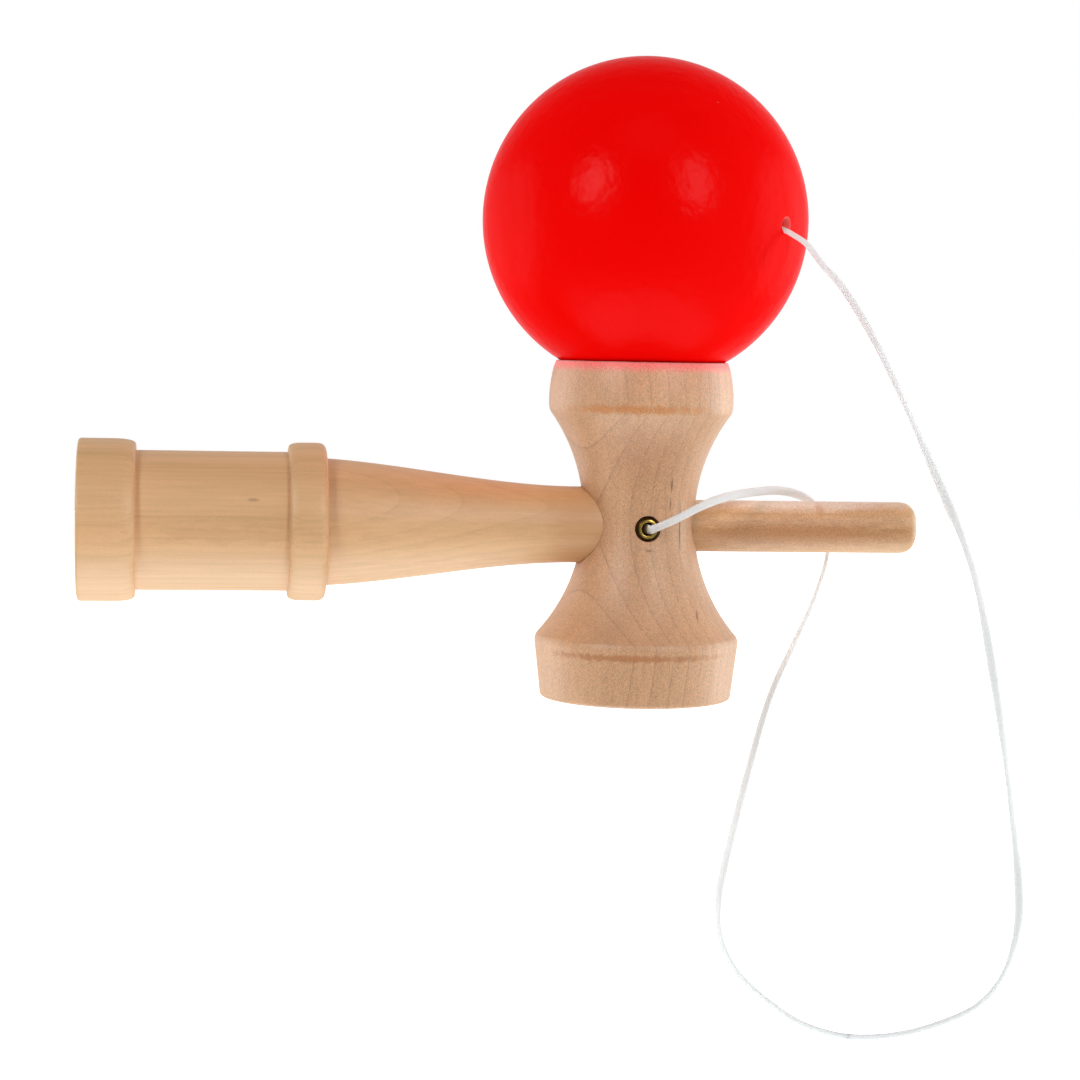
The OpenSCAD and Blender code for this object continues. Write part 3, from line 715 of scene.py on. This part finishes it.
def make_ball():
    """The lacquered ball, turned about the axis of its bore: sphere, rounded mouth, bore, stepped
    pocket for the bead, and the string's countersunk hole with its narrower throat. The lacquer ends
    inside the mouth and is thin in the hole, where it is painted lighter as painted light on the
    shaded wall."""
    r, bore, hole = BALL_D / 2, BORE_D / 2, STRING_HOLE_D / 2
    pocket, throat = POCKET_D / 2, THROAT_D / 2
    mouth = -np.sqrt(r**2 - bore**2)
    pocket_end = r - CROWN_WALL
    first, last = np.arcsin((bore + MOUTH_WIDTH) / r), np.pi - np.arcsin((hole + HOLE_SOFT) / r)
    turn = np.linspace(first, last, 200)
    sphere = np.stack([r * np.sin(turn), -r * np.cos(turn)], 1)
    sink = np.array([hole - SINK_INSET, r - SINK_DEPTH])
    hole_edge = bend(sphere[-1], np.array([hole, r]), sink, 8)[1:]
    inside = [(throat, r - THROAT_START, INNER_EDGE), (throat, r - THROAT_EVEN, 0),
              (throat, pocket_end + INNER_EDGE, 0), (throat, pocket_end, INNER_EDGE),
              (pocket, pocket_end, POCKET_SOFT), (pocket, BORE_END, INNER_EDGE),
              (bore, BORE_END, BORE_SOFT), (bore, mouth + 2 * MOUTH_DEPTH, 0),
              (bore, mouth + MOUTH_DEPTH, 0)]
    wall = dense(softened(inside, 6), 1.5)
    mouth_edge = bend(wall[-1], np.array([bore, mouth - MOUTH_FULLNESS]), sphere[0], 12)[1:-1]
    outline = np.concatenate([sphere, hole_edge, wall, mouth_edge])
    rings = turned(outline, ball_centre, hole_dir, BALL_COLUMNS)
    ball = piece("ball", rings, lacquer, loop=True, sharp=TURNED_EDGE)
    ball.data.materials.append(raw_wood)
    ball.data.materials.append(thin_lacquer_painted_lit)
    coat = np.zeros(len(outline), np.int32)
    coat[len(sphere) + len(hole_edge) : len(outline) - len(mouth_edge)] = 1
    coat[(outline[:, 0] < hole + THIN_WIDTH) & (outline[:, 1] > pocket_end + THIN_END)] = 2
    ball.data.polygons.foreach_set("material_index", np.repeat(coat, BALL_COLUMNS))
    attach(ball, "ball")
    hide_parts("ball")


def neck_radius(t, run):
    """Radius of the neck, at t from 0 at the collar to 1 at the crosspiece: the cubic with a set
    radius and slope at both ends of its run."""
    return ((2 * t**3 - 3 * t**2 + 1) * SHOULDER_D / 2 + (t**3 - 2 * t**2 + t) * run * NECK_SLOPE_OUT
            + (3 * t**2 - 2 * t**3) * NECK_D / 2 + (t**3 - t**2) * run * NECK_SLOPE_IN)


def make_handle():
    """Base ring with its dish, grip, collar, tapering neck, tenon and spike, turned from one piece,
    with the string's hole and the knot's recess drilled through the tenon."""
    neck_x = collar_x + COLLAR_LEN
    run = crossing[0] - neck_end - neck_x
    t = np.linspace(0, 1, 48)
    neck = [(r, x, 0) for r, x in zip(neck_radius(t, run), neck_x + t * run)]
    dish_r = BASE_D / 2 - EDGE_ROUND - BASE_LIP
    outline = softened([
        *arc_dish(dish_r, BASE_DISH, base_x, 1)[:-1], (dish_r, base_x, DISH_EDGE_ROUND),
        (BASE_D / 2, base_x, EDGE_ROUND), (BASE_D / 2, base_x + BASE_LEN, BASE_ROUND),
        (GRIP_D / 2, base_x + BASE_LEN, GRIP_CORNER), (GRIP_D / 2, collar_x, GRIP_CORNER),
        (COLLAR_D / 2, collar_x, COLLAR_ROUND), (COLLAR_D / 2, neck_x, COLLAR_FACE_ROUND), *neck,
        (NECK_D / 2, crossing[0] - tenon_half, 0), (SPIKE_D / 2, crossing[0] + tenon_half, 0),
        (SPIKE_D / 2, tip_x, TIP_ROUND), (TIP_FLAT, tip_x, 0)])
    handle = piece("handle", turned(dense(outline), np.zeros(3), [1, 0, 0], 160), beech)
    deep = np.array([0, NECK_D, 0])
    recess = np.array([0, handle_knot_face, 0])
    cut(handle, drill("hole", HANDLE_HOLE_D, crossing - deep, crossing + deep),
        drill("recess", KNOT_RECESS_D, crossing + recess, crossing + deep))
    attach(handle, "ken")
    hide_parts("ken")


def cove_reach(r):
    """Height from the waist at which the cove's arc reaches a radius."""
    rise = r - WAIST_D / 2
    return np.sqrt(2 * COVE_RADIUS * rise - rise**2)


def make_crosspiece():
    """The crosspiece turned about its own axis: two dished cups, their outer walls and ridges, and
    the cove between them, a circle's arc, with the tapered socket and the eyelet's seat cut out."""
    up = cove_reach(SMALL_RIDGE_D / 2 - EDGE_ROUND / 2)
    down = cove_reach(LARGE_RIDGE_D / 2 - EDGE_ROUND / 2)
    small_ridge_z = COVE_RISE + cove_reach(SMALL_RIDGE_D / 2)
    large_ridge_z = COVE_RISE - cove_reach(LARGE_RIDGE_D / 2)
    small_wall = small_rim_z - BEVEL_H - small_ridge_z
    large_r, small_r = LARGE_RIM_D / 2 - EDGE_ROUND - LARGE_LIP, SMALL_RIM_D / 2 - SMALL_LIP
    z = np.linspace(-down, up, 80)
    cove_r = WAIST_D / 2 + COVE_RADIUS - np.sqrt(COVE_RADIUS**2 - z**2)
    cove = [(a, b, 0) for a, b in zip(cove_r, COVE_RISE + z)]
    outline = softened([
        *arc_dish(large_r, LARGE_DISH, -large_rim_z, 1)[:-1],
        (large_r, -large_rim_z, DISH_EDGE_ROUND), (LARGE_RIM_D / 2, -large_rim_z, EDGE_ROUND),
        (LARGE_RIDGE_D / 2, large_ridge_z - EDGE_ROUND / 2, EDGE_ROUND), *cove,
        (SMALL_RIDGE_D / 2, small_ridge_z + EDGE_ROUND / 2, EDGE_ROUND),
        (SMALL_RIDGE_D / 2, small_ridge_z + small_wall / 2, small_wall / 2),
        (SMALL_RIM_D / 2 + BEVEL_W, small_rim_z - BEVEL_H, BEVEL_W),
        (SMALL_RIM_D / 2, small_rim_z, 0),
        *arc_dish(small_r, SMALL_DISH, small_rim_z, -1)[::-1]])
    crosspiece = piece("crosspiece", turned(dense(outline), crossing, [0, 0, 1], 192), maple)
    wide, narrow = NECK_D / 2 + SOCKET_GAP, SPIKE_D / 2 + SOCKET_GAP
    bore = np.array([[wide, -WAIST_D], [wide, -tenon_half], [narrow, tenon_half], [narrow, WAIST_D]])
    front = crossing + [0, -WAIST_D, 0]
    seat = crossing + [0, SEAT_DEPTH - WAIST_D / 2, 0]
    barrel_d = EYELET_BORE + 2 * EYELET_SHEET
    cut(crosspiece, piece("socket", turned(bore, crossing, [1, 0, 0], 128), maple),
        drill("eyelet_hole", barrel_d + 2 * BARREL_GAP, front, crossing),
        drill("eyelet_seat", FLANGE_D + 2 * FLANGE_GAP, front, seat))
    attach(crosspiece, "ken")
    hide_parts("crosspiece")


# Eyelet: gap under its flange, height of the flange's edge, and straight runs of the barrel under the
# flange and inside its back end
SEAT_GAP, FLANGE_EDGE, BARREL_RUN, BACK_RUN = 0.06, 0.35, 0.6, 0.5
# How far the rolled lip stands out past the barrel, swells into the bore and reaches down it
LIP_OUT, LIP_SWELL, LIP_DEPTH = 0.05, 0.1, 1


def make_eyelet():
    """The brass eyelet: a thin barrel whose mouth rolls outwards over a rounded lip and down to the
    seat, turned about its own axis towards the front."""
    bore, outer = EYELET_BORE / 2, EYELET_BORE / 2 + EYELET_SHEET
    back, front = -barrel_end_y, -flange_front_y
    seat = WAIST_D / 2 - SEAT_DEPTH + SEAT_GAP
    outline = softened([
        (bore, back, 0), (outer, back, 0), (outer, seat - BARREL_RUN, 0), (outer, seat, 0.15),
        (FLANGE_D / 2, seat, 0.1), (FLANGE_D / 2, seat + FLANGE_EDGE, 0.5), (outer + LIP_OUT, front, 0.5),
        (bore - LIP_SWELL, front, 0.35), (bore, front - LIP_DEPTH, 0.4), (bore, back + BACK_RUN, 0)])
    rings = turned(outline, crossing, [0, -1, 0], 96)
    eyelet = piece("eyelet", rings, brass, loop=True, sharp=TURNED_EDGE)
    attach(eyelet, "ken")
    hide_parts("eyelet")


make_string()
make_knot("handle_knot", crossing + [0, HANDLE_KNOT_Y, 0], [0, 1, 0], HANDLE_KNOT_D, "ken",
          "handle_knot")
make_knot("bead_knot", ball_centre + BEAD_KNOT_PLACE * hole_dir, hole_dir, BEAD_KNOT_D, "bead",
          "bead_knot")
make_bead()
make_ball()
make_handle()
make_crosspiece()
make_eyelet()

# Studio, in metres: a white floor far below, and white all round with its strength and how that changes
# with direction
FLOOR_Z, FLOOR_HALF, FLOOR_GLOW = -0.8, 12, 1.1
ROOM_LIGHT, ROOM_LEAN = 0.53, (0.2, 0.37, -0.3)
# The lights stand round the ball in the camera's own directions: across, up and towards it, then
# distance and size in metres, and watts
LIGHTS = {"left_soft_box": (-0.56, 0.33, 0.71, 0.9, 0.3, 3.1),
          "right_soft_box": (0.507, 0.31, 0.75, 0.9, 0.3, 2.6),
          "high_soft_box": (0, 0.8, 0.6, 0.9, 0.6, 0.5),
          "left_wall": (-0.94, 0, -0.34, 1.6, 1.6, 11.2),
          "right_wall": (0.94, 0, -0.34, 1.6, 1.6, 14.8),
          "table": (0, -1, 0, 1.2, 1.6, 8.6),
          "bounce_under_handle": (-0.43, -0.9, 0.1, 0.245, 0.2, 0.06)}
# Lights that are taller than they are wide, by this share
TALL_LIGHTS = {"left_soft_box": 1.45, "right_soft_box": 1.7}
# White walls and table throw a slightly cooler light than the soft boxes: red, green and blue of it
COOL_WHITE = (0.97, 1.04, 1.07)
COOL_LIGHTS = ("left_wall", "right_wall", "table", "bounce_under_handle")
# Nearly upwards, and the way of no light
LIGHT_LEVEL = [0.01, 0.1, 1]


def make_floor():
    """A large plain white floor, seen by the camera alone, that glows so that no shadow shows on it."""
    corners = np.array([[-1, -1], [1, -1], [1, 1], [-1, 1]]) * FLOOR_HALF
    mesh = bpy.data.meshes.new("floor")
    mesh.from_pydata(np.concatenate([corners, np.full((4, 1), FLOOR_Z)], 1), [], [[0, 1, 2, 3]])
    material, _, shader = new_material("white_studio_floor")
    shader.inputs["Base Color"].default_value = linear("#F2F2F2")
    shader.inputs["Emission Color"].default_value = linear("#FFFFFF")
    shader.inputs["Emission Strength"].default_value = FLOOR_GLOW
    mesh.materials.append(material)
    floor = bpy.data.objects.new("floor", mesh)
    bpy.context.scene.collection.objects.link(floor)
    floor.visible_diffuse = floor.visible_glossy = floor.visible_shadow = False


def light_room():
    """White surroundings: plain white to the camera, and for all other rays a strength that changes
    evenly with direction."""
    world = bpy.data.worlds.new("studio")
    world.use_nodes = True
    tree = world.node_tree
    bpy.context.scene.world = world
    direction = add(tree, "TexCoord").outputs["Generated"]
    lean = add(tree, "VectorMath", {0: direction, 1: ROOM_LEAN}, operation="DOT_PRODUCT").outputs[1]
    strength = add(tree, "Math", {0: lean, 1: ROOM_LIGHT}, operation="ADD").outputs[0]
    glow = add(tree, "Background", {"Color": (*COOL_WHITE, 1.0), "Strength": strength}).outputs[0]
    seen = add(tree, "Background", {"Color": linear("#FFFFFF"), "Strength": 1.0}).outputs[0]
    camera_ray = add(tree, "LightPath").outputs["Is Camera Ray"]
    both = add(tree, "MixShader", {0: camera_ray, 1: glow, 2: seen}).outputs[0]
    tree.links.new(both, tree.nodes["World Output"].inputs["Surface"])


def soft_light(name, place, target, size, watts):
    """A round or tall oval soft light at a place, aimed at a target, both in metres."""
    data = bpy.data.lights.new(name, "AREA")
    data.shape, data.energy = "ELLIPSE", watts
    data.size, data.size_y = size, size * TALL_LIGHTS.get(name, 1)
    data.color = COOL_WHITE if name in COOL_LIGHTS else (1, 1, 1)
    box = bpy.data.objects.new(name, data)
    way = unit(place - target)
    side = unit(np.cross(LIGHT_LEVEL, way))
    matrix = np.eye(4)
    matrix[:3, :3] = np.stack([side, np.cross(way, side), way], 1)
    matrix[:3, 3] = place
    box.matrix_world = Matrix(matrix.tolist())
    box.visible_camera = False
    bpy.context.scene.collection.objects.link(box)


def hang_lights():
    """Two soft boxes either side of the camera and one above it, white walls, a white table below and
    a small bounce of light under the handle."""
    ball = ball_centre * MM
    for name, (across, up, towards, far, size, watts) in LIGHTS.items():
        way = unit(across * camera_right + up * camera_up - towards * camera_forward)
        soft_light(name, ball + far * way, ball, size, watts)


make_floor()
light_room()
hang_lights()
bpy.context.scene.view_settings.view_transform = "Standard"
